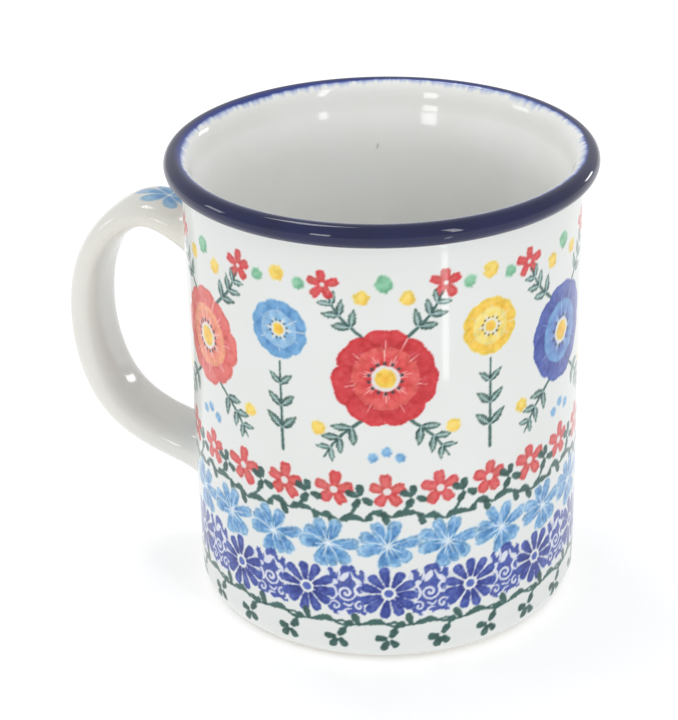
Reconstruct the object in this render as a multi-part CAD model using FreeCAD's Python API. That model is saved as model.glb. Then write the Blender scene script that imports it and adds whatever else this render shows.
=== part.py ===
import FreeCAD, Part
import math
import os

# Polish stoneware mug: a straight cylindrical cup with a rolled, cobalt-glazed
# lip, a bare foot ring and a pulled strap handle luted to the wall.
# Millimetres. Origin on the cup's axis in the plane of the foot, +Z up,
# handle towards -X in the plane Y = 0.

V = FreeCAD.Vector

# ---------------------------------------------------------------- dimensions
GLAZE = 0.30            # thickness of every fired glaze coat

BODY_R = 41.20          # glazed outer radius of the straight wall
INNER_R = 36.90         # glazed inner radius of the straight wall
FLOOR_Z = 6.50          # glazed floor level inside the cup

FOOT_OUT_R = 37.20      # foot ring, outer edge where it touches the table
FOOT_IN_R = 30.00       # foot ring, inner edge
FOOT_CHAMFER = 0.50     # small bevel wiped on the ring's outer edge
RECESS_Z = 1.20         # depth of the shallow recess inside the ring
RECESS_R = 28.80        # radius of the recess's flat roof
GLAZE_STOP_Z = 0.90     # glaze is wiped off below this height

CORNER_R = 5.20         # glazed radius between wall and foot
INNER_CORNER_R = 7.00   # glazed radius between inner wall and floor

LIP_R = 44.50           # outermost glazed radius of the rolled lip
LIP_TUBE = 2.30         # glazed radius of the lip's round section
LIP_Z = 96.90           # height of the lip section's centre
LIP_FILLET = 1.00       # concave glazed fillet under the lip

FLARE_Z = 83.50         # inside wall starts to open towards the lip here
RIM_BAND_Z = 92.80      # lower edge of the cobalt coat inside the cup
RIM_BAND_R = 38.50      # glazed inner radius at that edge
RIM_BAND_SLOPE = 0.38   # outward slope dr/dz at that edge

# handle centreline in the plane Y = 0: distance from the axis, height
HANDLE_LINE = [(36.5, 75.7), (43.4, 78.1), (51.1, 80.4), (61.8, 73.4),
               (66.8, 58.0), (65.5, 43.9), (60.3, 33.7), (50.6, 27.2),
               (37.0, 23.2)]
HANDLE_HALF_W = 7.35    # half width of the clay strap, along Y
HANDLE_T_TOP = 2.80     # half thickness of the clay strap at the top
HANDLE_T_MID = 3.30     # the same half way down
HANDLE_T_LOW = 3.70     # the same near the lower root
HANDLE_POWER = 2.5      # superellipse power of the strap's section
ROOT_WIDEN = 1.30       # extra half width where the strap meets the wall
ROOT_THICKEN_UP = 1.50  # extra half thickness where the upper root meets the wall
ROOT_THICKEN_LOW = 0.80 # the same at the lower root
ROOT_FADE = 3.20        # distance over which the flare of a root dies away
ROOT_CUT_UP = 46.00     # upper root ends at this distance from the axis
ROOT_CUT_LOW = 46.00    # lower root ends at this distance from the axis


# ------------------------------------------------------------------- helpers
def p(r, z):
    return V(r, 0, z)


def line(a, b):
    return Part.LineSegment(a, b).toShape()


def arc(centre, radius, a0, a1):
    am = 0.5 * (a0 + a1)
    pts = [V(centre.x + radius * math.cos(math.radians(a)), 0,
             centre.z + radius * math.sin(math.radians(a)))
           for a in (a0, am, a1)]
    return Part.Arc(pts[0], pts[1], pts[2]).toShape()


def curve(a, b, ta, tb):
    c = Part.BSplineCurve()
    c.interpolate(Points=[a, b], InitialTangent=ta, FinalTangent=tb)
    return c.toShape()


def ring(edges):
    wire = Part.Wire(Part.__sortEdges__(edges))
    face = Part.Face(wire)
    solid = face.revolve(V(0, 0, 0), V(0, 0, 1), 360)
    if solid.ShapeType != "Solid":
        solid = solid.Solids[0]
    return solid


def at(centre, radius, a):
    return V(centre.x + radius * math.cos(math.radians(a)), 0,
             centre.z + radius * math.sin(math.radians(a)))


# ---------------------------------------------------- meridian of the cup wall
corner_c = p(BODY_R - CORNER_R, CORNER_R)
inner_c = p(INNER_R - INNER_CORNER_R, FLOOR_Z + INNER_CORNER_R)
lip_c = p(LIP_R - LIP_TUBE, LIP_Z)
fil_r = BODY_R + LIP_FILLET
reach = LIP_TUBE + LIP_FILLET
fil_z = LIP_Z - math.sqrt(reach ** 2 - (fil_r - lip_c.x) ** 2)
fil_c = p(fil_r, fil_z)
# direction from the lip's centre to the fillet's centre
under = math.degrees(math.atan2(fil_z - LIP_Z, fil_r - lip_c.x))


def corner_angle(radius, z):
    return -math.degrees(math.asin((CORNER_R - z) / radius))


clay_corner = CORNER_R - GLAZE
a_bevel = corner_angle(clay_corner, FOOT_CHAMFER)
a_stop_clay = corner_angle(clay_corner, GLAZE_STOP_Z)
a_stop_glaze = corner_angle(CORNER_R, GLAZE_STOP_Z)

slope = V(RIM_BAND_SLOPE, 0, 1).normalize()
across = V(slope.z, 0, -slope.x)          # from the glaze into the clay
band_glaze = p(RIM_BAND_R, RIM_BAND_Z)
band_clay = band_glaze + across * GLAZE
up = V(0, 0, 1)


def lower_flare(off):
    a = p(INNER_R + off, FLARE_Z)
    b = band_glaze + across * off
    k = (b - a).Length
    return curve(a, b, up * k, slope * k)


def upper_flare(off):
    a = band_glaze + across * off
    b = at(lip_c, LIP_TUBE - off, 180)
    k = (b - a).Length
    return curve(a, b, slope * k, up * k)


# edges shared between the clay and its glaze coats
clay_corner_edge = arc(corner_c, clay_corner, a_stop_clay, 0)
clay_wall_edge = line(p(BODY_R - GLAZE, CORNER_R), p(BODY_R - GLAZE, fil_z))
clay_fillet_edge = arc(fil_c, LIP_FILLET + GLAZE, 180, under + 180)
clay_lip_edge = arc(lip_c, LIP_TUBE - GLAZE, under, 180)
clay_flare_hi = upper_flare(GLAZE)
clay_flare_lo = lower_flare(GLAZE)
clay_bore_edge = line(p(INNER_R + GLAZE, FLARE_Z),
                      p(INNER_R + GLAZE, inner_c.z))
clay_in_corner = arc(inner_c, INNER_CORNER_R + GLAZE, -90, 0)
clay_floor_edge = line(p(inner_c.x, FLOOR_Z - GLAZE), p(0, FLOOR_Z - GLAZE))

bevel_pt = at(corner_c, clay_corner, a_bevel)

# --------------------------------------------------------- cup_body (stoneware)
cup_body = ring([
    line(p(0, RECESS_Z), p(RECESS_R, RECESS_Z)),
    line(p(RECESS_R, RECESS_Z), p(FOOT_IN_R, 0)),
    line(p(FOOT_IN_R, 0), p(FOOT_OUT_R, 0)),
    line(p(FOOT_OUT_R, 0), bevel_pt),
    arc(corner_c, clay_corner, a_bevel, a_stop_clay),
    clay_corner_edge, clay_wall_edge, clay_fillet_edge, clay_lip_edge,
    clay_flare_hi, clay_flare_lo, clay_bore_edge, clay_in_corner,
    clay_floor_edge,
    line(p(0, FLOOR_Z - GLAZE), p(0, RECESS_Z)),
])

# ----------------------------------------- liner_glaze (clear glaze, inside)
liner_glaze = ring([
    clay_flare_lo, clay_bore_edge, clay_in_corner, clay_floor_edge,
    line(p(0, FLOOR_Z - GLAZE), p(0, FLOOR_Z)),
    line(p(0, FLOOR_Z), p(inner_c.x, FLOOR_Z)),
    arc(inner_c, INNER_CORNER_R, -90, 0),
    line(p(INNER_R, inner_c.z), p(INNER_R, FLARE_Z)),
    lower_flare(0.0),
    line(band_glaze, band_clay),
])

# ------------------------------------ rim_glaze (cobalt coat over the lip)
rim_glaze = ring([
    clay_lip_edge, clay_flare_hi,
    line(band_clay, band_glaze),
    upper_flare(0.0),
    arc(lip_c, LIP_TUBE, under, 180),
    line(at(lip_c, LIP_TUBE, under), at(lip_c, LIP_TUBE - GLAZE, under)),
])

# -------------------- outer coat (clear glaze over the decoration), no handle
outer_coat = ring([
    clay_corner_edge, clay_wall_edge, clay_fillet_edge,
    line(at(lip_c, LIP_TUBE - GLAZE, under), at(lip_c, LIP_TUBE, under)),
    arc(fil_c, LIP_FILLET, 180, under + 180),
    line(p(BODY_R, fil_z), p(BODY_R, CORNER_R)),
    arc(corner_c, CORNER_R, a_stop_glaze, 0),
    line(at(corner_c, CORNER_R, a_stop_glaze),
         at(corner_c, clay_corner, a_stop_clay)),
])

# ------------------------------------------------------------ the strap handle
centre = Part.BSplineCurve()
centre.interpolate(Points=[V(-r, 0, z) for r, z in HANDLE_LINE])
U0, U1 = centre.FirstParameter, centre.LastParameter
LENGTH = centre.length()


def mix(x, xs, ys):
    if x <= xs[0]:
        return ys[0]
    for i in range(1, len(xs)):
        if x <= xs[i]:
            t = (x - xs[i - 1]) / (xs[i] - xs[i - 1])
            t = t * t * (3 - 2 * t)
            return ys[i - 1] + (ys[i] - ys[i - 1]) * t
    return ys[-1]


def section(s, grow):
    u = centre.parameterAtDistance(LENGTH * s, U0)
    c = centre.value(u)
    t = centre.tangent(u)[0]
    n = V(t.z, 0, -t.x)                    # in the plane of the handle
    away = max(0.0, -c.x - BODY_R)
    flare = math.exp(-away / ROOT_FADE)
    thick = mix(s, (0.15, 0.5, 0.85), (HANDLE_T_TOP, HANDLE_T_MID,
                                       HANDLE_T_LOW))
    a = HANDLE_HALF_W + ROOT_WIDEN * flare + grow
    extra = ROOT_THICKEN_UP if s < 0.5 else ROOT_THICKEN_LOW
    b = thick + extra * flare + grow
    pts = []
    count = 28
    for k in range(count):
        w = 2 * math.pi * k / count
        cw, sw = math.cos(w), math.sin(w)
        e = 2.0 / HANDLE_POWER
        y = a * math.copysign(abs(cw) ** e, cw)
        h = b * math.copysign(abs(sw) ** e, sw)
        pts.append(c + V(0, y, 0) + n * h)
    sp = Part.BSplineCurve()
    sp.interpolate(Points=pts, PeriodicFlag=True)
    return Part.Wire([sp.toShape()])


STATIONS = [0.0, 0.022, 0.045, 0.07, 0.10, 0.14, 0.19, 0.25, 0.32, 0.40, 0.48,
            0.56, 0.64, 0.72, 0.79, 0.85, 0.895, 0.93, 0.955, 0.98, 1.0]


def strap(grow):
    s = Part.makeLoft([section(x, grow) for x in STATIONS], True, False, False)
    return s.Solids[0] if s.ShapeType != "Solid" else s


strap_clay = strap(0.0)
strap_glazed = strap(GLAZE)

core = Part.makeCylinder(BODY_R - GLAZE, 140, V(0, 0, -20))
skin_core = Part.makeCylinder(BODY_R, 140, V(0, 0, -20))


def box(x0, x1, z0, z1):
    return Part.makeBox(x1 - x0, 60, z1 - z0, V(x0, -30, z0))


outside = strap_clay.cut(core)
up_zone = box(-ROOT_CUT_UP, 0, 55, 110)
low_zone = box(-ROOT_CUT_LOW, 0, 0, 50)


def largest(shape):
    return max(shape.Solids, key=lambda q: q.Volume)


upper_handle_joint = largest(outside.common(up_zone))
lower_handle_joint = largest(outside.common(low_zone))
handle = largest(outside.cut(up_zone).cut(low_zone))
handle_glaze = largest(strap_glazed.cut(skin_core).cut(strap_clay))
outer_glaze = largest(outer_coat.cut(strap_clay))

# ---------------------------------------------------------------------- export
NODES = {
    "cup_body": cup_body,
    "handle": handle,
    "upper_handle_joint": upper_handle_joint,
    "lower_handle_joint": lower_handle_joint,
    "liner_glaze": liner_glaze,
    "rim_glaze": rim_glaze,
    "outer_glaze": outer_glaze,
    "handle_glaze": handle_glaze,
}
os.makedirs("parts", exist_ok=True)
for name, shape in NODES.items():
    shape.exportStep("parts/" + name + ".step")
    bb = shape.BoundBox
    print("%-20s %-6s valid %s vol %10.2f  X %.2f %.2f  Y %.2f %.2f  Z %.2f %.2f"
          % (name, shape.ShapeType, shape.isValid(), shape.Volume,
             bb.XMin, bb.XMax, bb.YMin, bb.YMax, bb.ZMin, bb.ZMax))
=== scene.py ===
import math

import bpy
import numpy as np
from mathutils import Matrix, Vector
from mathutils.bvhtree import BVHTree


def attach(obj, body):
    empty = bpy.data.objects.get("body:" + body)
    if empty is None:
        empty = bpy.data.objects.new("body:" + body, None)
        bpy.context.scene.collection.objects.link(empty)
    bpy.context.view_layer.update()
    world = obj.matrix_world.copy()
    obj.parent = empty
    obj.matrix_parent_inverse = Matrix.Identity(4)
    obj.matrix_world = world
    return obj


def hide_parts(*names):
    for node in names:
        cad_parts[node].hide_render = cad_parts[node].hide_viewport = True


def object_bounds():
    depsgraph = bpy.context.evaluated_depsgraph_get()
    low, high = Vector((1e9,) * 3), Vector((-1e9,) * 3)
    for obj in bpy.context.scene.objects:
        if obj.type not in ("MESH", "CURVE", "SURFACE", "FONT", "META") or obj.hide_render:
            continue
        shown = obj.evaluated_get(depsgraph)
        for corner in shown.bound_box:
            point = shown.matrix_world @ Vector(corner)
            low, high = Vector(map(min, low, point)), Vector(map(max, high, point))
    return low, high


# Looks of a decorated stoneware mug around its CAD frame. Metres, frame axes:
# +Z up, handle towards -X, painted front towards -Y.
# ---- painting engine: everything here is drawn by code on a grid wrapped round the cup ----



R_WALL = 0.0412


class Grid:
    """A painted sheet wrapped round the wall. s runs round the cup in mm, z up in mm."""

    def __init__(self, radius, z0, z1, per_mm, base, seed):
        self.radius, self.z0, self.z1, self.k = radius, z0, z1, per_mm
        self.w = int(round(2 * math.pi * radius * per_mm))
        self.kx = self.w / (2 * math.pi * radius)
        self.h = int(round((z1 - z0) * per_mm)) + 1
        self.img = np.empty((self.h, self.w, 3), np.float32)
        self.img[:] = np.array(base, np.float32) / 255.0
        self.rng = np.random.default_rng(seed)
        self.n1 = self.noise(1.1)
        self.n2 = self.noise(0.42)
        self.n3 = self.noise(3.2)

    def noise(self, size):
        """Smooth periodic noise with cells of about size mm, from -1 to 1."""
        nx = max(4, int(round(self.w / self.kx / size)))
        ny = max(4, int(round((self.z1 - self.z0) / size)) + 3)
        g = self.rng.uniform(-1, 1, (ny, nx)).astype(np.float32)
        x = np.arange(self.w) / self.w * nx
        y = np.arange(self.h) / self.h * (ny - 3) + 1
        xi, yi = x.astype(int), y.astype(int)
        fx, fy = (x - xi).astype(np.float32), (y - yi).astype(np.float32)
        fx, fy = fx * fx * (3 - 2 * fx), fy * fy * (3 - 2 * fy)
        a = g[yi][:, xi % nx] * (1 - fx) + g[yi][:, (xi + 1) % nx] * fx
        b = g[yi + 1][:, xi % nx] * (1 - fx) + g[yi + 1][:, (xi + 1) % nx] * fx
        return a * (1 - fy)[:, None] + b * fy[:, None]

    def window(self, s0, s1, z0, z1):
        i0 = int(math.floor(s0 * self.kx))
        i1 = int(math.ceil(s1 * self.kx)) + 1
        j0 = max(0, int(math.floor((z0 - self.z0) * self.k)))
        j1 = min(self.h, int(math.ceil((z1 - self.z0) * self.k)) + 1)
        if j1 <= j0:
            return None
        ii = np.arange(i0, i1)
        jj = np.arange(j0, j1)
        s = (ii / self.kx).astype(np.float32)
        z = (jj / self.k + self.z0).astype(np.float32)
        return jj[:, None], (ii % self.w)[None, :], *np.meshgrid(s, z)

    def lay(self, win, cover, colour):
        j, i = win[0], win[1]
        c = cover[..., None]
        self.img[j, i] = self.img[j, i] * (1 - c) + colour * c


def rgb(*c):
    return np.array(c, np.float32) / 255.0


def smooth(points, closed=False, steps=8):
    """Catmull-Rom curve through the points."""
    p = np.asarray(points, float)
    n = len(p)
    if n < 3 and not closed:
        t = np.linspace(0, 1, steps + 1)[:, None]
        return p[0] * (1 - t) + p[1] * t
    if closed:
        q = np.vstack([p[-1], p, p[0], p[1]])
        m = n
    else:
        q = np.vstack([2 * p[0] - p[1], p, 2 * p[-1] - p[-2]])
        m = n - 1
    t = np.linspace(0, 1, steps, endpoint=False)[:, None]
    out = []
    for k in range(m):
        a, b, c, d = q[k], q[k + 1], q[k + 2], q[k + 3]
        out.append(0.5 * (2 * b + (c - a) * t + (2 * a - 5 * b + 4 * c - d) * t * t
                          + (3 * b - a - 3 * c + d) * t ** 3))
    out = np.vstack(out)
    return out if closed else np.vstack([out, p[-1]])


def sdf(s, z, poly):
    """Signed distance to a closed outline in mm, negative inside."""
    d2 = np.full(s.shape, 1e9, np.float32)
    inside = np.zeros(s.shape, bool)
    p = np.asarray(poly, np.float32)
    q = np.roll(p, -1, 0)
    for (ax, ay), (bx, by) in zip(p, q):
        ex, ey = bx - ax, by - ay
        l2 = ex * ex + ey * ey
        if l2 < 1e-12:
            continue
        wx, wy = s - ax, z - ay
        t = np.clip((wx * ex + wy * ey) / l2, 0, 1)
        dx, dy = wx - t * ex, wy - t * ey
        np.minimum(d2, dx * dx + dy * dy, out=d2)
        if ay != by:
            up = (ay > z) != (by > z)
            cross = s < ex * (z - ay) / (by - ay) + ax
            inside ^= up & cross
    d = np.sqrt(d2)
    return np.where(inside, -d, d)


def step(d, soft):
    """1 inside (d < 0), 0 outside, with a soft edge."""
    t = np.clip(0.5 - d / (2 * soft), 0, 1)
    return t * t * (3 - 2 * t)


def fill(g, poly, colour, alpha=0.95, soft=0.10, rough=0.05, pool=0.10, wash=0.10,
         second=None, mixer=None):
    """A brushed or stamped patch: soft edge, slight pooling at the edge, uneven wash."""
    p = np.asarray(poly, float)
    m = soft * 2 + rough * 2 + 0.3
    win = g.window(p[:, 0].min() - m, p[:, 0].max() + m, p[:, 1].min() - m, p[:, 1].max() + m)
    if win is None:
        return
    j, i, s, z = win
    d = sdf(s, z, p)
    n1, n2 = g.n1[j, i], g.n2[j, i]
    cover = step(d + rough * n2 * 2, soft)
    tone = 1 - pool * np.exp(-((d + 0.35) / 0.35) ** 2) + wash * (0.6 * n1 + 0.4 * n2)
    c = np.asarray(colour, np.float32)
    col = np.broadcast_to(c, s.shape + (3,))
    if second is not None:
        t = np.clip(mixer(s, z) if mixer is not None else 0.5 + 0.8 * n1, 0, 1)[..., None]
        col = col * (1 - t) + np.asarray(second, np.float32) * t
    # a thinner wash lets the white ground through, a thicker one is darker
    white = np.array([0.90, 0.90, 0.89], np.float32)
    t = np.clip(tone, 0.3, 1.6)[..., None]
    col = np.where(t < 1, 1 - (1 - col) * (2 - t) ** 0.6, col + (white - col) * (t - 1))
    col = np.where(t < 1, np.clip(col * (0.45 + 0.55 * t), 0, 1), col)
    g.lay(win, cover * alpha, np.clip(col, 0, 1))


def stroke(g, pts, widths, colour, alpha=0.95, soft=0.09, rough=0.03, wash=0.08, curve=True):
    """A brush stroke along a curve, with its full width given at each point."""
    p = np.asarray(pts, float)
    w = np.asarray(widths, float) * np.ones(len(p))
    if curve and len(p) > 2:
        k = 6
        q = smooth(p, False, k)
        w = np.interp(np.linspace(0, len(p) - 1, len(q)), np.arange(len(p)), w)
        p = q
    m = w.max() / 2 + soft * 2 + 0.2
    win = g.window(p[:, 0].min() - m, p[:, 0].max() + m, p[:, 1].min() - m, p[:, 1].max() + m)
    if win is None:
        return
    j, i, s, z = win
    best = np.full(s.shape, 1e9, np.float32)
    for k in range(len(p) - 1):
        ax, ay = p[k]
        bx, by = p[k + 1]
        ex, ey = bx - ax, by - ay
        l2 = ex * ex + ey * ey
        if l2 < 1e-10:
            continue
        t = np.clip(((s - ax) * ex + (z - ay) * ey) / l2, 0, 1)
        d = np.hypot(s - ax - t * ex, z - ay - t * ey) - (w[k] + (w[k + 1] - w[k]) * t) / 2
        np.minimum(best, d, out=best)
    n1, n2 = g.n1[j, i], g.n2[j, i]
    cover = step(best + rough * n2 * 2, soft) * alpha
    col = np.clip(np.asarray(colour, np.float32) * (1 + wash * (n1 * 0.6 + n2 * 0.4))[..., None], 0, 1)
    g.lay(win, cover, col)


def turn(pts, angle, scale=1.0, at=(0, 0)):
    a = math.radians(angle)
    c, s = math.cos(a), math.sin(a)
    p = np.asarray(pts, float) * scale
    return np.stack([p[:, 0] * c - p[:, 1] * s + at[0], p[:, 0] * s + p[:, 1] * c + at[1]], 1)


def blade(length, width, belly=0.45, tip=1.0, n=9, bend=0.0):
    """A leaf or petal outline from (0,0) along +x. belly: where it is widest."""
    t = np.linspace(0, 1, n)
    h = np.where(t < belly, np.sin(0.5 * math.pi * (t / belly)) ** 0.8,
                 np.cos(0.5 * math.pi * ((t - belly) / (1 - belly)) ** tip)) * width / 2
    y = bend * length * np.sin(math.pi * t) * 0.5
    up = np.stack([t * length, y + h], 1)
    lo = np.stack([t * length, y - h], 1)[::-1]
    return smooth(np.vstack([up, lo[1:-1]]), True, 4)
# ------------------------------------------------ folk-pottery motifs, all generic
WALL_GRID = []
WHITE = rgb(226, 229, 227)
RED, RED_DEEP, RED_SOFT = rgb(214, 44, 52), rgb(184, 26, 38), rgb(228, 92, 88)
CORAL, CORAL_DEEP, CORAL_LINE = rgb(230, 106, 98), rgb(214, 78, 78), rgb(250, 224, 216)
NAVY, NAVY_SOFT, NAVY_LINE = rgb(26, 34, 108), rgb(48, 60, 142), rgb(196, 206, 236)
SKY, SKY_DEEP, SKY_PALE = rgb(118, 176, 222), rgb(62, 124, 190), rgb(166, 204, 234)
COBALT, COBALT_DEEP = rgb(66, 90, 176), rgb(38, 54, 142)
VINE = rgb(42, 84, 78)
PINE, PINE_LINE, OLIVE = rgb(36, 74, 72), rgb(178, 204, 204), rgb(112, 116, 38)
SAGE, SAGE_PALE, SAGE_DEEP = rgb(106, 140, 94), rgb(160, 182, 140), rgb(58, 92, 54)
MINT, MINT_DEEP = rgb(128, 196, 156), rgb(62, 140, 100)
YELLOW, YELLOW_DEEP, YELLOW_PALE = rgb(248, 214, 88), rgb(242, 176, 34), rgb(244, 230, 146)
INK, INK_SOFT = rgb(46, 46, 50), rgb(92, 92, 92)


def grade(c, axis, length):
    """0 at c, 1 at length mm along axis (degrees)."""
    a = math.radians(axis)
    ca, sa = math.cos(a), math.sin(a)

    def f(s, z):
        return ((s - c[0]) * ca + (z - c[1]) * sa) / length
    return f


def radial(c, r0, r1):
    def f(s, z):
        return (np.hypot(s - c[0], z - c[1]) - r0) / (r1 - r0)
    return f
















def scroll(g, c, r, turns, a0, w, colour=COBALT, flip=1, tail=None):
    n = int(18 * turns) + 2
    t = np.linspace(0, 1, n)
    ang = math.radians(a0) + flip * t * turns * 2 * math.pi
    rad = r * (0.10 + 0.90 * t)
    pts = np.stack([c[0] + rad * np.cos(ang), c[1] + rad * np.sin(ang)], 1)
    if tail is not None:
        pts = np.vstack([pts, tail])
    wid = np.interp(np.linspace(0, 1, len(pts)), [0, 0.2, 0.8, 1], [w * 0.9, w, w * 0.9, w * 0.5])
    stroke(g, pts, wid, colour, 0.95, 0.12, 0.04, 0.15, False)










def veined_leaf(g, base, tip, width, colour=PINE, second=None, line=PINE_LINE, ragged=0.06, veins=4, alpha=0.95, vein_w=0.26):
    base, tip = np.array(base, float), np.array(tip, float)
    d = tip - base
    L = math.hypot(*d)
    ang = math.degrees(math.atan2(d[1], d[0]))
    n = 15
    t = np.linspace(0, 1, n)
    h = np.sin(math.pi * t ** 0.82) ** 0.85 * width / 2
    jag = np.where(np.arange(n) % 2 == 0, 1 + ragged, 1 - ragged)
    p = np.vstack([np.stack([t * L, h * jag], 1), np.stack([t * L, -h * jag], 1)[::-1][1:-1]])
    p = smooth(turn(p, ang, 1, base), True, 3)
    fill(g, p, colour, alpha, 0.13, 0.08, 0.10, 0.20, second, grade(base, ang + 30, L) if second is not None else None)
    if line is None:
        return
    mid = turn([(0.02 * L, 0), (0.45 * L, 0.02 * L), (0.86 * L, 0)], ang, 1, base)
    stroke(g, mid, [vein_w * 1.25, vein_w, vein_w * 0.5], line, 0.88, 0.09)
    for k in range(veins):
        t0 = 0.22 + 0.6 * k / veins
        for sg in (1, -1):
            q = turn([(t0 * L, 0), ((t0 + 0.10) * L, sg * width * 0.17), ((t0 + 0.17) * L, sg * width * 0.30)], ang, 1, base)
            stroke(g, q, [vein_w, vein_w * 0.8, vein_w * 0.4], line, 0.75, 0.09)






# ---------------------------------------------- stamped and brushed flower shapes
def petal(L, W, n=9, base=0.12, blunt=5.0, notch=0.0):
    """A petal from (0,0) along +x, widest towards its end, which is rounded or notched."""
    t = (1 - np.cos(np.linspace(0, math.pi, n))) / 2
    h = W / 2 * (base + (1 - base) * t ** 0.75) * np.sqrt(np.clip(1 - t ** blunt, 0, 1))
    h = h / max(h.max(), 1e-6) * W / 2
    up = np.stack([t * L, h], 1)
    lo = np.stack([t * L, -h], 1)[::-1]
    mid = [(L * (1 - notch), 0.0)] if notch else [(L, 0.0)]
    p = np.vstack([[(0, W * base * 0.5)], up[1:-1], mid, lo[1:-1], [(0, -W * base * 0.5)]])
    return smooth(p, True, 4)


def small_flower(g, c, r, rot=90, n=5, colour=RED_SOFT, deep=RED, hole=0.17, alpha=0.93, wide=0.62, skip=()):
    angles = [rot + k * 360.0 / n for k in range(n)]
    for k, a in enumerate(angles):
        a += g.rng.uniform(-7, 7)
        L = r * g.rng.uniform(0.90, 1.10)
        p = petal(L, r * wide * g.rng.uniform(0.92, 1.08), 8, 0.24, 4.0, g.rng.uniform(0.02, 0.10))
        p = turn(p, a, 1, c)
        fill(g, p, colour, alpha * g.rng.uniform(0.9, 1.0), 0.12, 0.06, 0.16, 0.26, deep)
    if hole:
        t = np.arange(12) / 12 * 2 * math.pi
        fill(g, np.stack([np.cos(t), np.sin(t)], 1) * r * hole * 1.05 + c, WHITE, 0.95, 0.13, 0.03, 0, 0)


def four_leaf(g, c, r, rot, stalk=None, colour=VINE, angles=(95, 152, -24, 238), stem=3):
    for k, a in enumerate(angles):
        a = a + g.rng.uniform(-8, 8)
        far = r * (1.12 if k == 1 else 0.98) * g.rng.uniform(0.92, 1.06)
        w = r * g.rng.uniform(0.60, 0.70)
        p = petal(far, w, 7, 0.30, 4.0)
        b = turn([(0.40, 0)], a, 1, c)[0]
        fill(g, turn(p, a, 1, b), colour, 0.94, 0.12, 0.06, 0.06, 0.18)
        if k == stem and stalk is not None:
            tip = turn([(far * 0.7, 0)], a, 1, b)[0]
            d = np.array(stalk, float) - tip
            nn = np.array([-d[1], d[0]])
            stroke(g, [tip, tip + d * 0.5 + nn * 0.12, stalk], [0.95, 0.62, 0.5], colour, 0.93, 0.11, 0.06, 0.12)


def vine(g, nodes, z_of, leaf=3.0, down=True, colour=VINE):
    """A brushed running stem that swells into leaves."""
    for k in range(len(nodes) - 1):
        a, b = nodes[k], nodes[k + 1]
        za, zb = z_of(a), z_of(b)
        L = b - a
        j = lambda v: g.rng.uniform(-v, v)
        if down:
            stroke(g, [(a, za), (a + 0.10 * L, za - 0.35), (a + 0.22 * L, za + 0.35), (a + 0.40 * L, za + 0.55 + j(0.2)), (a + 0.56 * L, za + 0.1 + j(0.2)), (a + 0.66 * L, zb - 0.55)],
                   [0.6, 0.55, 1.6, 1.35, 0.6, 1.55], colour, 0.94, 0.12, 0.07, 0.14)
            stroke(g, [(a + 0.60 * L, za + 0.2), (a + 0.72 * L, zb + 0.55), (a + 0.86 * L, zb + 0.75 + j(0.15)), (b, zb)], [0.55, 0.8, 1.65, 0.7], colour, 0.94, 0.12, 0.07, 0.14)
            p = turn(petal(3.1, 1.55, 8, 0.35, 3.5), -62 + j(9), 1, (a + 0.90 * L, zb + 0.5))
        else:
            stroke(g, [(a, za), (a + 0.14 * L, za + 0.5), (a + 0.30 * L, za + 0.85 + j(0.15)), (a + 0.44 * L, za + 0.25), (a + 0.60 * L, zb - 0.25 + j(0.2)), (a + 0.74 * L, zb + 0.1)],
                   [0.55, 1.3, 1.5, 0.55, 0.65, 1.6], colour, 0.94, 0.12, 0.07, 0.14)
            stroke(g, [(a + 0.46 * L, za + 0.3), (a + 0.62 * L, zb + 0.55), (a + 0.80 * L, zb - 0.15), (b, zb)], [0.5, 0.55, 0.55, 0.55], colour, 0.94, 0.12, 0.07, 0.14)
            p = turn(petal(3.0, 1.6, 8, 0.35, 3.5), 112 + j(10), 1, (a + 0.92 * L, zb - 0.1))
        fill(g, p, colour, 0.94, 0.12, 0.06, 0.05, 0.15)


def bell_flower(g, c, r, rot=0.0):
    """Light-blue stamped flower: blunt petals, darker at the heart, with pale veins."""
    shape = ((152, 1.04, .50), (113, 1.02, .42), (66, 1.00, .46), (10, 1.16, .44), (186, 1.08, .50), (-44, 0.98, .54), (-104, 0.98, .58), (-72, 0.86, .36))
    for (a, L, w) in shape:
        a = a + rot + g.rng.uniform(-5, 5)
        L = L * r * g.rng.uniform(0.94, 1.05)
        p = turn(petal(L, r * w * 0.98, 9, 0.26, 5.0, g.rng.uniform(0.0, 0.08)), a, 1, c)
        wn = g.window(p[:, 0].min() - 0.6, p[:, 0].max() + 0.6, p[:, 1].min() - 0.6, p[:, 1].max() + 0.6)
        if wn is not None:
            g.lay(wn, step(sdf(wn[2], wn[3], p) - 0.20, 0.14) * 0.62, rgb(216, 226, 234))
        fill(g, p, SKY_PALE, 0.93, 0.18, 0.09, 0.24, 0.30, SKY, radial(c, r * 1.20, r * 0.45))
        q = turn(petal(L * 0.72, r * w * 0.55, 8, 0.30, 4.0), a + g.rng.uniform(-6, 6), 1, turn([(r * 0.10, 0)], a, 1, c)[0])
        fill(g, q, SKY_DEEP, 0.58, 0.36, 0.14, 0.0, 0.35)
    for (a, L, w) in shape[:4]:
        # a pale line running up the middle of the upper petals
        a = math.radians(a + rot + g.rng.uniform(-5, 5))
        stroke(g, [(c[0] + r * 0.42 * math.cos(a), c[1] + r * 0.42 * math.sin(a)), (c[0] + r * 0.80 * math.cos(a + 0.10), c[1] + r * 0.80 * math.sin(a + 0.10))],
               [0.22, 0.34], rgb(196, 216, 236), 0.62, 0.16)
    for k in range(10):
        a = math.radians(k * 36 + rot + 8 + g.rng.uniform(-10, 10))
        r1 = r * g.rng.uniform(0.30, 0.58)
        stroke(g, [(c[0] + 0.12 * math.cos(a), c[1] + 0.12 * math.sin(a)), (c[0] + r1 * math.cos(a), c[1] + r1 * math.sin(a))],
               [0.40, 0.16], rgb(216, 228, 238), 0.9, 0.11)


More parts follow.
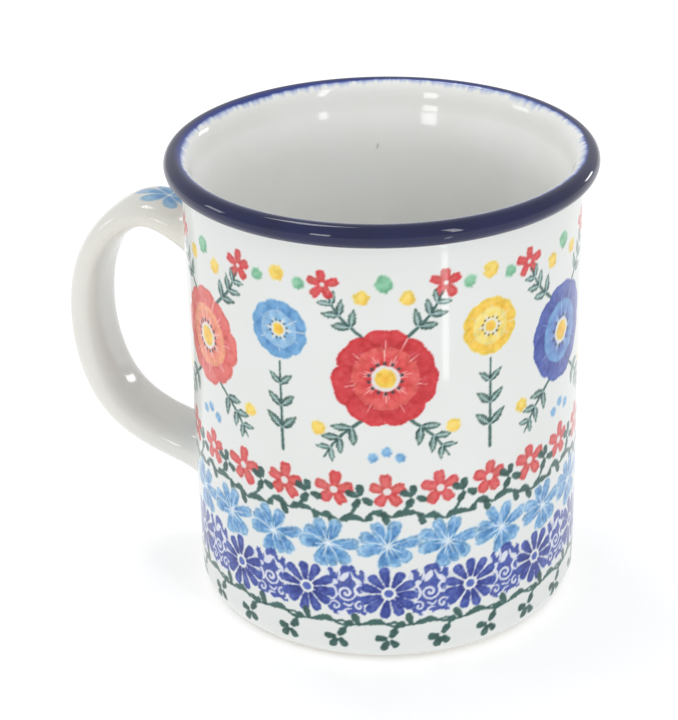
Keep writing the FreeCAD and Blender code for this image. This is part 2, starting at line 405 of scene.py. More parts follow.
def lace_daisy(g, c, r, rot=0.0):
    for k, a in enumerate((92, 56, 22, -12, -42, -72, -106, -140, 196, 160, 126)):
        a = a + rot + g.rng.uniform(-3, 3)
        L = r * g.rng.uniform(0.90, 1.02)
        b = turn([(r * 0.25, 0)], a, 1, c)[0]
        p = turn(petal(L - r * 0.25, r * 0.335, 8, 0.22, 7.0), a, 1, b)
        fill(g, p, COBALT, 0.95, 0.12, 0.05, 0.08, 0.26, COBALT_DEEP, radial(c, r * 1.1, r * 0.35))
    t = np.arange(14) / 14 * 2 * math.pi
    dot = np.stack([np.cos(t), np.sin(t)], 1)
    fill(g, dot * r * 0.23 + c, WHITE, 0.85, 0.12, 0.02, 0, 0)
    fill(g, dot * r * 0.15 + c, COBALT, 0.95, 0.12, 0.04, 0, 0.1)


def lace_fill(g, s0, s1, z0, z1):
    """Dense scrollwork: a solid patch with a lobed edge, opened up by pale lines."""
    m, w, zc = (s0 + s1) / 2, (s1 - s0), (z0 + z1) / 2
    j = lambda v: g.rng.uniform(-v, v)
    top = [(s0 - 1.6, z1 - 4.6), (s0 - 0.6, z1 - 1.4), (s0 + 0.10 * w, z1 - 0.5), (s0 + 0.22 * w, z1 - 2.2), (m - 0.16 * w, z1 + 0.1 + j(.2)), (m + 0.06 * w, z1 + 0.5 + j(.2)),
           (m + 0.22 * w, z1 - 0.1), (m + 0.32 * w, z1 - 1.8), (s1 - 0.10 * w, z1 - 0.6), (s1 + 0.4, z1 - 1.6), (s1 + 1.6, z1 - 4.4)]
    bot = [(s1 + 1.2, zc - 1.0), (s1 + 0.7, z0 + 2.6), (s1 + 0.2, z0 + 0.9), (s1 - 0.2 * w, z0 + 1.3), (m + 0.1 * w, z0 + 0.6 + j(.2)), (m - 0.08 * w, z0 + 1.6), (m - 0.26 * w, z0 + 0.5),
           (s0 + 0.04 * w, z0 + 1.2), (s0 - 0.6, z0 + 2.4), (s0 - 1.2, zc - 1.0)]
    fill(g, smooth(top + bot, True, 5), COBALT, 0.95, 0.14, 0.12, 0.0, 0.30, COBALT_DEEP, None)
    pale = rgb(228, 231, 238)

    def line(pts, wd=0.5, al=0.93):
        wd *= 1.25
        pts = [(x + j(0.12), z + j(0.12)) for x, z in pts]
        stroke(g, pts, [wd * 0.75] + [wd] * (len(pts) - 2) + [wd * 0.6], pale, al, 0.13, 0.06, 0.03)

    def curl(x, z, r, a0, turns, fl, wd=0.5):
        wd *= 1.2
        t = np.linspace(0, 1, int(16 * turns) + 3)
        an = math.radians(a0) + fl * t * turns * 2 * math.pi
        q = np.stack([x + r * (0.12 + 0.88 * t) * np.cos(an), z + r * (0.12 + 0.88 * t) * np.sin(an)], 1)
        stroke(g, q, np.interp(t, [0, 0.3, 1], [wd * 0.9, wd, wd * 0.7]), pale, 0.93, 0.13, 0.05, 0.03, False)

    curl(m - 0.02 * w, zc - 0.2, 2.1, 190 + j(15), 1.55, 1)
    curl(s1 - 0.14 * w, z0 + 2.9, 1.55, 20 + j(15), 1.2, -1, 0.45)
    curl(s0 + 0.16 * w, z0 + 2.6, 1.3, 150 + j(15), 1.0, 1, 0.42)
    # openings in the upper lace
    for x, z, ww, hh, a in ((s0 + 0.12 * w, z1 - 4.0, 1.9, 1.4, 40), (m - 0.06 * w, z1 - 2.4, 2.9, 1.5, 52), (s1 - 0.18 * w, z1 - 3.2, 2.4, 1.1, -38), (s0 - 0.05 * w, z1 - 2.2, 0.9, 2.2, 10),
                              (s1 + 0.06 * w, z1 - 1.6, 0.8, 2.0, -8), (s0 + 0.30 * w, z0 + 1.0, 1.2, 0.9, 0), (m + 0.16 * w, z0 + 0.7, 1.4, 0.9, 20)):
        t = np.arange(9) / 9 * 2 * math.pi
        wob = (1 + g.rng.uniform(-0.18, 0.18, 9))[:, None]
        fill(g, smooth(turn(np.stack([np.cos(t) * ww / 2, np.sin(t) * hh / 2], 1) * wob, a, 1, (x, z)), True, 3), pale, 0.93, 0.13, 0.06, 0, 0)
    line([(s0 + 0.28 * w, z1 - 0.2), (s0 + 0.30 * w, z1 - 1.8), (s0 + 0.24 * w, z1 - 3.4)], 0.42)
    line([(m + 0.12 * w, z1 - 1.3), (m + 0.20 * w, z1 - 2.6), (m + 0.34 * w, z1 - 4.4)], 0.42)
    line([(s0 - 0.02 * w, zc + 1.9), (s0 + 0.16 * w, zc + 0.7), (s0 + 0.20 * w, zc - 1.0), (s0 + 0.04 * w, zc - 2.2)], 0.5)
    line([(s1 - 0.02 * w, zc + 1.6), (s1 - 0.16 * w, zc + 1.9), (s1 - 0.26 * w, zc + 0.9), (s1 - 0.18 * w, zc - 0.3), (s1, zc - 0.7)], 0.5)
    line([(m - 0.16 * w, z0 + 0.4), (m - 0.06 * w, z0 + 1.9), (m + 0.12 * w, z0 + 2.2)], 0.42)
    line([(m - 0.10 * w, z0 + 3.4), (m + 0.06 * w, z0 + 2.9), (m + 0.16 * w, z0 + 3.6)], 0.4)
    line([(s1 + 0.9, z0 + 3.6), (s1 + 0.2, z0 + 2.6), (s1 + 0.5, z0 + 1.4)], 0.4)










# ------------------------------------------------------------- the composition










def paint_strap(p):
    # a light-blue flower by the upper root and a thin dark stroke along the outer edge
    c = (12.6, -0.6)
    for a, L, w in ((-6, 6.0, 3.0), (52, 5.6, 2.7), (112, 5.2, 2.9), (172, 6.0, 2.8), (232, 5.4, 2.9), (296, 5.4, 2.7)):
        q = turn(petal(L, w, 9, 0.3, 5.0), a, 1, c)
        fill(p, q, SKY_PALE, 0.88, 0.30, 0.08, 0.15, 0.25, SKY, radial(c, 6.5, 1.5))
        fill(p, turn(petal(L * 0.6, w * 0.45, 8, 0.3, 4.0), a + 4, 1, c), SKY_DEEP, 0.45, 0.35, 0.1, 0, 0.2)
    for a in (20, 80, 140, 200, 262, 330):
        r = math.radians(a)
        stroke(p, [c, (c[0] + 3.0 * math.cos(r), c[1] + 3.0 * math.sin(r))], [0.5, 0.2], rgb(220, 230, 240), 0.7, 0.2)
    stroke(p, [(19.5, -3.4), (24.5, -4.4), (30.0, -4.8), (36.0, -4.4)], [0.3, 1.0, 0.8, 0.2], rgb(150, 148, 170), 0.62, 0.35, 0.1)


def disc(c, r, g, wob=0.05):
    t = np.arange(18) / 18 * 2 * math.pi
    k = 1 + g.rng.uniform(-wob, wob, 18)
    return smooth(np.stack([np.cos(t) * r * k, np.sin(t) * r * k], 1) + c, True, 3)


def dot(g, c, r, colour=YELLOW, second=YELLOW_DEEP):
    fill(g, disc(c, r, g, 0.10), colour, 0.9, 0.30, 0.10, 0.08, 0.2, second, grade(c, -60, 2 * r))


def folk_flower(g, c, r, n, outer, outer_deep, inner, line, spin=0.0, rows=2):
    """A round folk flower: even petals in two rows, a yellow heart and a ring of dots."""
    for row in range(rows):
        L = r * (1.0, 0.64)[row]
        W = 2 * L * math.sin(math.pi / n) * 1.0
        col, deep = ((outer, outer_deep), (inner, outer))[row]
        for k in range(n):
            a = spin + (k + 0.5 * row) * 360.0 / n + g.rng.uniform(-2, 2)
            p = turn(petal(L * g.rng.uniform(0.97, 1.03), W, 11, 0.22, 4.2, 0.03), a, 1, c)
            fill(g, p, col, 0.95, 0.13, 0.06, 0.10, 0.18, deep, radial(c, L, L * 0.4))
            ca, sa = math.cos(math.radians(a)), math.sin(math.radians(a))
            for off in (-0.13, 0.0, 0.13):
                b = math.radians(a) + off
                stroke(g, [(c[0] + L * 0.46 * math.cos(b), c[1] + L * 0.46 * math.sin(b)),
                           (c[0] + L * (0.78 - abs(off)) * math.cos(b), c[1] + L * (0.78 - abs(off)) * math.sin(b))],
                       [0.34, 0.12], line, 0.8, 0.11)
            # a thin pale gap beside each petal
            e = math.radians(a + 180.0 / n)
            stroke(g, [(c[0] + L * 0.42 * math.cos(e), c[1] + L * 0.42 * math.sin(e)),
                       (c[0] + L * 0.90 * math.cos(e), c[1] + L * 0.90 * math.sin(e))], [0.14, 0.34], line, 0.75, 0.10)
    fill(g, disc(c, r * 0.27, g), WHITE, 0.95, 0.14, 0.05, 0, 0)
    fill(g, disc(c, r * 0.20, g), YELLOW, 0.95, 0.16, 0.06, 0.1, 0.2, YELLOW_DEEP, radial(c, r * 0.2, 0))
    for k in range(2 * n):
        a = (k + 0.5) * math.pi / n
        fill(g, disc((c[0] + r * 0.31 * math.cos(a), c[1] + r * 0.31 * math.sin(a)), r * 0.035, g), INK, 0.9, 0.10, 0.03, 0, 0.1)


def sprig(g, base, tip, side, leaf=4.6):
    """A stem with paired leaves."""
    (x0, z0), (x1, z1) = base, tip
    mid = ((x0 + x1) / 2 + side * 1.4, (z0 + z1) / 2)
    q = smooth([base, mid, tip], False, 8)
    stroke(g, [base, mid, tip], [0.7, 0.6, 0.4], VINE, 0.92, 0.12, 0.04)
    heading = math.degrees(math.atan2(z1 - z0, x1 - x0))
    for k, i in enumerate((4, 8, 12)):
        for sg in (1, -1):
            a = math.radians(heading + sg * 48)
            l = leaf * (1.0, 0.9, 0.75)[k]
            veined_leaf(g, tuple(q[i]), (q[i][0] + l * math.cos(a), q[i][1] + l * math.sin(a)), l * 0.42, PINE, rgb(70, 104, 84))


def wall_field(g):
    """A regular garland: six bouquets evenly spaced round the wall."""
    L = g.w / g.kx
    pitch = L / 6
    kinds = ((7, RED, RED_DEEP, CORAL, CORAL_LINE), (6, COBALT, COBALT_DEEP, SKY, SKY_PALE), (8, CORAL, CORAL_DEEP, rgb(248, 176, 128), CORAL_LINE))
    for k in range(6):
        s = k * pitch
        m = s + pitch / 2
        # the small bouquet between two large flowers
        sprig(g, (m, 48.5), (m, 68.0), 0.0)
        folk_flower(g, (m, 75.0), 6.2, 6, *((SKY, SKY_DEEP, SKY_PALE, WHITE) if k % 2 else (YELLOW, YELLOW_DEEP, YELLOW_PALE, WHITE)), spin=30, rows=2)
        for sg in (1, -1):
            small_flower(g, (m + sg * 9.6, 86.0), 3.4, 90, 5, RED_SOFT, RED, 0.14, 0.92, 0.56)
            dot(g, (m + sg * 4.6, 85.6), 1.3, MINT, MINT_DEEP)
            dot(g, (m + sg * 8.0, 55.0), 1.5)
        dot(g, (m, 87.0), 1.7)
        # the large flower with its leaves
        for sg in (1, -1):
            sprig(g, (s + sg * 4.0, 58.0), (s + sg * 12.6, 48.6), sg * 0.8, 4.2)
            sprig(g, (s + sg * 4.0, 75.0), (s + sg * 11.4, 84.4), sg * 0.8, 4.0)
            dot(g, (s + sg * 4.4, 83.6), 1.5)
        dot(g, (s, 86.6), 1.8, MINT, MINT_DEEP)
        for dx in (-2.7, 0.0, 2.7):
            dot(g, (s + dx, 50.4 - abs(dx) * 0.5), 1.05, SKY, SKY_DEEP)
        n, a, b, c, d = kinds[k % 3]
        folk_flower(g, (s, 66.6), 10.6, n, a, b, c, d, spin=90)


def wall_bands(g):
    """Stamped borders, each evenly spaced round the wall."""
    L = g.w / g.kx

    def even(count, phase=0.0):
        return [(k + phase) * L / count for k in range(count)]
    for k, s in enumerate(even(24)):
        small_flower(g, (s, 41.4), 4.2, 90 + g.rng.uniform(-6, 6), 5, rgb(230, 96, 92), rgb(212, 52, 58), 0.19, 0.92, 0.58)
    level = lambda s: 35.3 + 0.6 * math.cos(s / L * 2 * math.pi * 12)
    vine(g, even(24) + [L], level, 2.9, True)
    for s in even(24, 0.5):
        four_leaf(g, (s, 40.0), 2.5, 0, (s - 3.3, level(s - 3.3) + 0.5))
    for s in even(21):
        bell_flower(g, (s, 28.6), 6.2, g.rng.uniform(-8, 8))
    step_ = L / 15
    for s in even(15):
        lace_fill(g, s + 5.0, s + step_ - 5.0, 11.4, 23.6)
    for s in even(15):
        t = np.arange(22) / 22 * 2 * math.pi
        fill(g, np.stack([np.cos(t) * 5.7, np.sin(t) * 6.4], 1) + (s, 17.5), WHITE, 0.92, 0.25, 0.2, 0, 0)
        lace_daisy(g, (s, 17.5), 6.3, g.rng.uniform(-8, 8))
    low = lambda s: 9.9 + 0.4 * math.cos(s / L * 2 * math.pi * 12)
    vine(g, even(24, 0.5) + [L * (1 + 0.5 / 24)], low, 2.9, False)
    for s in even(24):
        four_leaf(g, (s, 6.4), 2.5, 0, (s + 2.8, low(s + 2.8)), VINE, (176, 240, 308, 52), 3)


def paint_wall():
    g = Grid(WALL_R * 1000.0, 0.0, 97.0, 9.0, GROUND, 11)
    wall_field(g)
    wall_bands(g)
    WALL_GRID.append(g)
    return g
# ------------------------------------------------------------------ the frame
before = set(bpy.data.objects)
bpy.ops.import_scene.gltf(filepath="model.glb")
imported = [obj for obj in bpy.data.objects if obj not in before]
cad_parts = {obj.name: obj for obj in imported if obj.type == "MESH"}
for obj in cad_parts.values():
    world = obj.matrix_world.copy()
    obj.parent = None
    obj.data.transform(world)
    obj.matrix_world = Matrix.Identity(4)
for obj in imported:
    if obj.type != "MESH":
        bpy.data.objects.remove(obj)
size_lo, size_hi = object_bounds()


def node_points(name):
    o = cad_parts[name]
    n = len(o.data.vertices)
    v = np.empty(n * 3, np.float32)
    o.data.vertices.foreach_get("co", v)
    return v.reshape(-1, 3)


outer_pts = node_points("outer_glaze")
liner_pts = node_points("liner_glaze")
rim_pts = node_points("rim_glaze")
body_pts = node_points("cup_body")


def radii(p):
    return np.hypot(p[:, 0], p[:, 1])


GLAZE = 0.0003
mid = (outer_pts[:, 2] > 0.02) & (outer_pts[:, 2] < 0.08)
WALL_R = float(radii(outer_pts)[(outer_pts[:, 2] > 0.004) & (outer_pts[:, 2] < 0.090)].max())
LIP_R = float(radii(rim_pts).max())
TOP_Z = float(rim_pts[:, 2].max())
BORE_R = float(radii(liner_pts)[(liner_pts[:, 2] > 0.0130) & (liner_pts[:, 2] < 0.0840)].min())
FLOOR_Z = float(liner_pts[:, 2].min()) + GLAZE
FOOT_R = float(radii(body_pts)[body_pts[:, 2] < 0.00002].max())
LIP_TUBE = 0.0023
LIP_C = (LIP_R - LIP_TUBE, TOP_Z - LIP_TUBE)
CORNER = 0.0052
IN_CORNER = 0.0070
FILLET = 0.0010
STOP_Z = 0.0009
BAND_R, BAND_Z, BAND_SLOPE = BORE_R + 0.0016, TOP_Z - 0.0064, 0.38
FLARE_Z = TOP_Z - 0.0157
print("wall", WALL_R, "lip", LIP_R, "top", TOP_Z, "bore", BORE_R, "floor", FLOOR_Z, "foot", FOOT_R)


# ------------------------------------------------------------- meridian pieces
def arc_pts(c, r, a0, a1, n):
    a = np.radians(np.linspace(a0, a1, n))
    return np.stack([c[0] + r * np.cos(a), c[1] + r * np.sin(a)], 1)


def hermite(a, b, ta, tb, n):
    a, b = np.array(a), np.array(b)
    k = np.linalg.norm(b - a)
    ta, tb = np.array(ta) * k, np.array(tb) * k
    t = np.linspace(0, 1, n)[:, None]
    return ((2 * t ** 3 - 3 * t ** 2 + 1) * a + (t ** 3 - 2 * t ** 2 + t) * ta
            + (-2 * t ** 3 + 3 * t ** 2) * b + (t ** 3 - t ** 2) * tb)


def resample(p, stepm):
    p = np.asarray(p, float)
    seg = np.hypot(*np.diff(p, axis=0).T)
    keep = np.r_[True, seg > 1e-9]
    p = p[keep]
    d = np.r_[0, np.cumsum(np.hypot(*np.diff(p, axis=0).T))]
    n = max(2, int(round(d[-1] / stepm)) + 1)
    t = np.linspace(0, d[-1], n)
    return np.stack([np.interp(t, d, p[:, 0]), np.interp(t, d, p[:, 1])], 1), t


fil_r = WALL_R + FILLET
fil_z = LIP_C[1] - math.sqrt((LIP_TUBE + FILLET) ** 2 - (fil_r - LIP_C[0]) ** 2)
under = math.degrees(math.atan2(fil_z - LIP_C[1], fil_r - LIP_C[0]))
slope = np.array([BAND_SLOPE, 1.0])
slope /= np.linalg.norm(slope)
up2 = np.array([0.0, 1.0])


def mesh_object(name, verts, faces, colours=None, smooth=True):
    me = bpy.data.meshes.new(name)
    verts = np.asarray(verts, np.float32)
    me.vertices.add(len(verts))
    me.vertices.foreach_set("co", verts.ravel())
    quads = np.asarray(faces, np.int32)
    n, k = quads.shape
    me.loops.add(n * k)
    me.loops.foreach_set("vertex_index", quads.ravel())
    me.polygons.add(n)
    me.polygons.foreach_set("loop_start", np.arange(0, n * k, k, dtype=np.int32))
    me.update(calc_edges=True)
    me.polygons.foreach_set("use_smooth", np.ones(n, bool) if smooth else np.zeros(n, bool))
    if colours is not None:
        a = me.color_attributes.new("paint", "FLOAT_COLOR", "POINT")
        c = np.ones((len(verts), 4), np.float32)
        c[:, :3] = colours
        a.data.foreach_set("color", c.ravel())
    me.validate()
    ob = bpy.data.objects.new(name, me)
    bpy.context.scene.collection.objects.link(ob)
    return ob


def revolve(name, profile, n, colour_fn=None, closed=True):
    """Revolves a meridian (r, z). A closed meridian gives a closed ring; a point
    on the axis becomes a pole."""
    p = np.asarray(profile, float)
    a = np.arange(n) / n * 2 * math.pi
    rows = len(p)
    r = p[:, 0][:, None]
    verts = np.stack([r * np.cos(a)[None], r * np.sin(a)[None],
                      np.broadcast_to(p[:, 1][:, None], (rows, n))], -1).reshape(-1, 3)
    last = rows if closed else rows - 1
    j = np.arange(last)
    i = np.arange(n)
    J, I = np.meshgrid(j, i, indexing="ij")
    J2, I2 = (J + 1) % rows, (I + 1) % n
    quads = np.stack([J * n + I, J * n + I2, J2 * n + I2, J2 * n + I], -1).reshape(-1, 4)
    colours = None
    if colour_fn is not None:
        colours = colour_fn(verts, rows, n)
    return mesh_object(name, verts, quads, colours)
# ------------------------------------------------------------------ materials
def new_material(name):
    m = bpy.data.materials.new(name)
    m.use_nodes = True
    nt = m.node_tree
    nt.nodes.clear()
    out = nt.nodes.new("ShaderNodeOutputMaterial")
    bsdf = nt.nodes.new("ShaderNodeBsdfPrincipled")
    nt.links.new(bsdf.outputs["BSDF"], out.inputs["Surface"])
    return m, nt, bsdf


def noise_node(nt, scale, detail=3.0, rough=0.5):
    tc = nt.nodes.new("ShaderNodeTexCoord")
    n = nt.nodes.new("ShaderNodeTexNoise")
    n.inputs["Scale"].default_value = scale
    n.inputs["Detail"].default_value = detail
    n.inputs["Roughness"].default_value = rough
    nt.links.new(tc.outputs["Object"], n.inputs["Vector"])
    return n


def remap(nt, value, lo, hi, a, b):
    r = nt.nodes.new("ShaderNodeMapRange")
    r.inputs["From Min"].default_value = lo
    r.inputs["From Max"].default_value = hi
    r.inputs["To Min"].default_value = a
    r.inputs["To Max"].default_value = b
    nt.links.new(value, r.inputs["Value"])
    return r.outputs["Result"]


def glaze(name, attribute="paint", rough=0.10, wobble=0.06, mottling=0.03, ior=1.5):
    """Fired clear glaze: painted colour below a hard smooth gloss."""
    m, nt, b = new_material(name)
    at = nt.nodes.new("ShaderNodeAttribute")
    at.attribute_name = attribute
    at.attribute_type = "GEOMETRY"
    n = noise_node(nt, 55.0, 4.0, 0.55)
    mix = nt.nodes.new("ShaderNodeMix")
    mix.data_type = "RGBA"
    mix.blend_type = "MULTIPLY"
    mix.inputs["Factor"].default_value = 1.0
    ramp = nt.nodes.new("ShaderNodeValToRGB")
    ramp.color_ramp.elements[0].position = 0.30
    ramp.color_ramp.elements[0].color = (1 - mottling, 1 - mottling * 1.1, 1 - mottling * 1.5, 1)
    ramp.color_ramp.elements[1].position = 0.70
    ramp.color_ramp.elements[1].color = (1, 1, 1, 1)
    nt.links.new(n.outputs["Fac"], ramp.inputs["Fac"])
    nt.links.new(at.outputs["Color"], mix.inputs["A"])
    nt.links.new(ramp.outputs["Color"], mix.inputs["B"])
    nt.links.new(mix.outputs["Result"], b.inputs["Base Color"])
    r = noise_node(nt, 90.0, 2.0)
    nt.links.new(remap(nt, r.outputs["Fac"], 0.3, 0.7, rough * 0.75, rough * 1.25), b.inputs["Roughness"])
    bump = nt.nodes.new("ShaderNodeBump")
    bump.inputs["Strength"].default_value = wobble
    bump.inputs["Distance"].default_value = 0.001
    w = noise_node(nt, 130.0, 1.5, 0.4)
    nt.links.new(w.outputs["Fac"], bump.inputs["Height"])
    nt.links.new(bump.outputs["Normal"], b.inputs["Normal"])
    b.inputs["IOR"].default_value = ior
    return m


def clay(name, base=(0.62, 0.57, 0.50)):
    m, nt, b = new_material(name)
    n = noise_node(nt, 400.0, 6.0, 0.6)
    ramp = nt.nodes.new("ShaderNodeValToRGB")
    ramp.color_ramp.elements[0].position = 0.32
    ramp.color_ramp.elements[0].color = (base[0] * 0.86, base[1] * 0.85, base[2] * 0.82, 1)
    ramp.color_ramp.elements[1].position = 0.68
    ramp.color_ramp.elements[1].color = (base[0], base[1], base[2], 1)
    nt.links.new(n.outputs["Fac"], ramp.inputs["Fac"])
    nt.links.new(ramp.outputs["Color"], b.inputs["Base Color"])
    b.inputs["Roughness"].default_value = 0.85
    bump = nt.nodes.new("ShaderNodeBump")
    bump.inputs["Strength"].default_value = 0.15
    bump.inputs["Distance"].default_value = 0.0005
    nt.links.new(n.outputs["Fac"], bump.inputs["Height"])
    nt.links.new(bump.outputs["Normal"], b.inputs["Normal"])
    return m


mat_wall = glaze("decorated_glaze_look", rough=0.07, wobble=0.05, mottling=0.02)
mat_rim = glaze("cobalt_glaze_look", rough=0.06, wobble=0.05, mottling=0.05)
mat_liner = glaze("liner_glaze_look", rough=0.08, wobble=0.06, mottling=0.03)
mat_strap = glaze("handle_glaze_look", rough=0.09, wobble=0.07, mottling=0.03)
mat_clay = clay("bare_stoneware_look")

GROUND = (226, 229, 227)     # the white glaze, as a display colour
# the same white glaze inside the cup, painted lighter than GROUND outside: painted light that lifts the shade inside
# the cup
INSIDE_LIT_WHITE = (250, 251, 249)


def linear(c):
    c = np.clip(np.asarray(c, np.float32), 0, 1)
    return np.where(c <= 0.04045, c / 12.92, ((c + 0.055) / 1.055) ** 2.4)


def tighten(path, first=True, last=True, gap=0.00002):
    """Adds a row just inside each end, so the shading is not pulled round to the back."""
    q = [path[:1]]
    if first:
        d = path[1] - path[0]
        q.append((path[0] + d / np.linalg.norm(d) * gap)[None])
    q.append(path[1:-1])
    if last:
        d = path[-2] - path[-1]
        q.append((path[-1] + d / np.linalg.norm(d) * gap)[None])
    q.append(path[-1:])
    q = np.vstack(q)
    return q, np.r_[0, np.cumsum(np.linalg.norm(np.diff(q, axis=0), axis=1))]


# ---------------------------------------------------------- the painted wall
TURN = math.radians(16.5)    # the painted scene faces this far round from -Y
WALL_STEP = 0.00024
N_WALL = int(round(2 * math.pi * WALL_R / WALL_STEP / 8)) * 8

outer_path = np.vstack([
    arc_pts((WALL_R - CORNER, CORNER), CORNER,
            -math.degrees(math.asin((CORNER - STOP_Z) / CORNER)), 0, 40),
    [[WALL_R, fil_z]],
    arc_pts((fil_r, fil_z), FILLET, 180, under + 180, 12)[1:],
])
outer_path, outer_len = tighten(resample(outer_path, WALL_STEP)[0])
corner_len = CORNER * math.asin((CORNER - STOP_Z) / CORNER)
outer_v = (outer_len - corner_len + CORNER) * 1000.0     # height in mm along the wall
back_path = np.vstack([
    arc_pts((fil_r, fil_z), FILLET + 0.00025, under + 180, 180, 4),
    [[WALL_R - 0.00025, 0.060], [WALL_R - 0.00025, 0.030], [WALL_R - 0.00025, CORNER]],
    arc_pts((WALL_R - CORNER, CORNER), CORNER - 0.00025, 0,
            -math.degrees(math.asin((CORNER - STOP_Z) / (CORNER - 0.00025))), 8)[1:],
])


def wall_colours(verts, rows, n):
    a = np.arange(n) / n * 2 * math.pi
    s = (a + math.pi / 2 - TURN) * WALL_R * 1000.0
    v = np.r_[outer_v, np.full(rows - len(outer_v), 50.0)]
    img = paint_wall().img
    g = WALL_GRID[0]
    soft = (img + np.roll(img, 1, 0) + np.roll(img, 1, 1) + np.roll(np.roll(img, 1, 0), 1, 1)) / 4
    x = (s * g.kx) % g.w + 0.5
    y = np.clip((v - g.z0) * g.k + 0.5, 0, g.h - 1.001)
    xi, yi = np.floor(x).astype(int), np.floor(y).astype(int)
    fx, fy = (x - xi)[None, :, None], (y - yi)[:, None, None]
    top = soft[yi][:, xi % g.w] * (1 - fx) + soft[yi][:, (xi + 1) % g.w] * fx
    yi2 = np.minimum(yi + 1, g.h - 1)
    bot = soft[yi2][:, xi % g.w] * (1 - fx) + soft[yi2][:, (xi + 1) % g.w] * fx
    return linear((top * (1 - fy) + bot * fy).reshape(-1, 3))


wall = revolve("wall_decor", np.vstack([outer_path, back_path]), N_WALL, wall_colours)
wall.data.materials.append(mat_wall)
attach(wall, "root")
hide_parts("outer_glaze")

# --------------------------------------------------------------- cobalt lip
RIM_STEP = 0.00022
N_RIM = 1200
band_g = np.array([BAND_R, BAND_Z])
across = np.array([slope[1], -slope[0]])
LEAVE = math.radians(134)        # where the inner face leaves the lip's round
leave_p = (LIP_C[0] + LIP_TUBE * math.cos(LEAVE), LIP_C[1] + LIP_TUBE * math.sin(LEAVE))
leave_t = (-math.sin(LEAVE), math.cos(LEAVE))
rim_path = np.vstack([
    arc_pts(LIP_C, LIP_TUBE, under, 134, 80),
    hermite(leave_p, band_g, leave_t, -slope, 40)[1:],
])
rim_path, rim_len = tighten(resample(rim_path, RIM_STEP)[0])
rim_back = np.vstack([
    hermite(band_g + across * 0.00025, (LIP_C[0] - LIP_TUBE + 0.00025, LIP_C[1]), slope, up2, 5),
    arc_pts(LIP_C, LIP_TUBE - 0.00025, 180, under, 20)[1:],
])


def rim_colours(verts, rows, n):
    """Cobalt banded on a wheel: solid over the crest, broken by the brush inside."""
    a = np.arange(n) / n * 2 * math.pi
    rng = np.random.default_rng(41)
    # length along the section from the underside, in mm
    t = np.r_[rim_len, np.zeros(rows - len(rim_len))] * 1000.0
    crest = LIP_TUBE * 1000.0 * math.radians(90 - under)

    def ring(count, amp, seed):
        g = np.random.default_rng(seed).uniform(-1, 1, count)
        x = a / (2 * math.pi) * count
        i = np.floor(x).astype(int)
        f = x - i
        f = f * f * (3 - 2 * f)
        return amp * (g[i % count] * (1 - f) + g[(i + 1) % count] * f)

    # the band is wider on the handle's side than opposite it
    lean = -0.5 * np.cos(a + TURN)
    edge = crest + 0.75 + lean * 1.0 + ring(7, 0.22, 1) + ring(40, 0.14, 2) + ring(170, 0.10, 3)
    reach = np.clip(1.25 + ring(11, 0.45, 4) + ring(60, 0.35, 5) + ring(260, 0.55, 6) + ring(520, 0.35, 7), 0.35, 3.2)
    T = t[:, None]
    deep = np.array([0.058, 0.078, 0.240])
    mid_ = np.array([0.190, 0.262, 0.600])
    pale = np.array([0.640, 0.715, 0.910])
    # painted light: the inside white is painted lighter than the outside glaze to lift the shade inside the cup
    white = np.array(INSIDE_LIT_WHITE) / 255.0
    # 0 on the solid band, 1 where the brush has run dry
    dry = np.clip((T - edge[None]) / reach[None], 0, 1)
    cover = np.clip(1 - dry, 0, 1) ** 1.25
    cover = cover[..., None]
    thin = np.clip(dry * 2.2, 0, 1)[..., None]
    ink = mid_ * (1 - thin) + pale * thin
    col = white * (1 - cover ** 0.8) + ink * cover ** 0.8
    tone = np.clip(0.5 + 0.5 * ring(60, 1, 9)[None] * 0.5 + 0.12 * np.sin(T * 5.0 + ring(30, 2.0, 10)[None]), 0, 1)[..., None]
    blue = deep * (1 - 0.22 * tone) + mid_ * 0.22 * tone
    near = np.clip((T - (crest - 0.2)) / 1.1, 0, 1)[..., None]
    blue = blue * (1 - 0.75 * near) + mid_ * 0.75 * near
    under_edge = np.clip(1 - T / 0.55, 0, 1)[..., None]
    blue = blue * (1 - 0.45 * under_edge) + mid_ * 0.45 * under_edge
    solid = np.clip((edge[None] - T) / 0.25 + 0.5, 0, 1)[..., None]
    col = col * (1 - solid) + blue * solid
    return linear(col.reshape(-1, 3))


rim = revolve("rim_cobalt", np.vstack([rim_path, rim_back]), N_RIM, rim_colours)
rim.data.materials.append(mat_rim)
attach(rim, "root")
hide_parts("rim_glaze")

# ------------------------------------------------------------ inside liner
liner_path = np.vstack([
    hermite(band_g, (BORE_R, FLARE_Z), -slope, -up2, 20),
    [[BORE_R, FLOOR_Z + IN_CORNER]],
    arc_pts((BORE_R - IN_CORNER, FLOOR_Z + IN_CORNER), IN_CORNER, 0, -90, 20)[1:],
    [[0.0, FLOOR_Z]],
])
liner_path, liner_len = resample(liner_path, 0.0009)
liner_path[-1, 0] = 0.0
liner_path, liner_len = tighten(liner_path, True, False)
liner_back = np.vstack([
    [[0.0, FLOOR_Z - 0.00025], [BORE_R - IN_CORNER, FLOOR_Z - 0.00025]],
    arc_pts((BORE_R - IN_CORNER, FLOOR_Z + IN_CORNER), IN_CORNER + 0.00025, -90, 0, 8)[1:],
    [[BORE_R + 0.00025, FLARE_Z]],
    hermite((BORE_R + 0.00025, FLARE_Z), band_g + across * 0.00025, up2, slope, 6)[1:],
])


liner_top = float(np.asarray(liner_path)[:, 1].max())


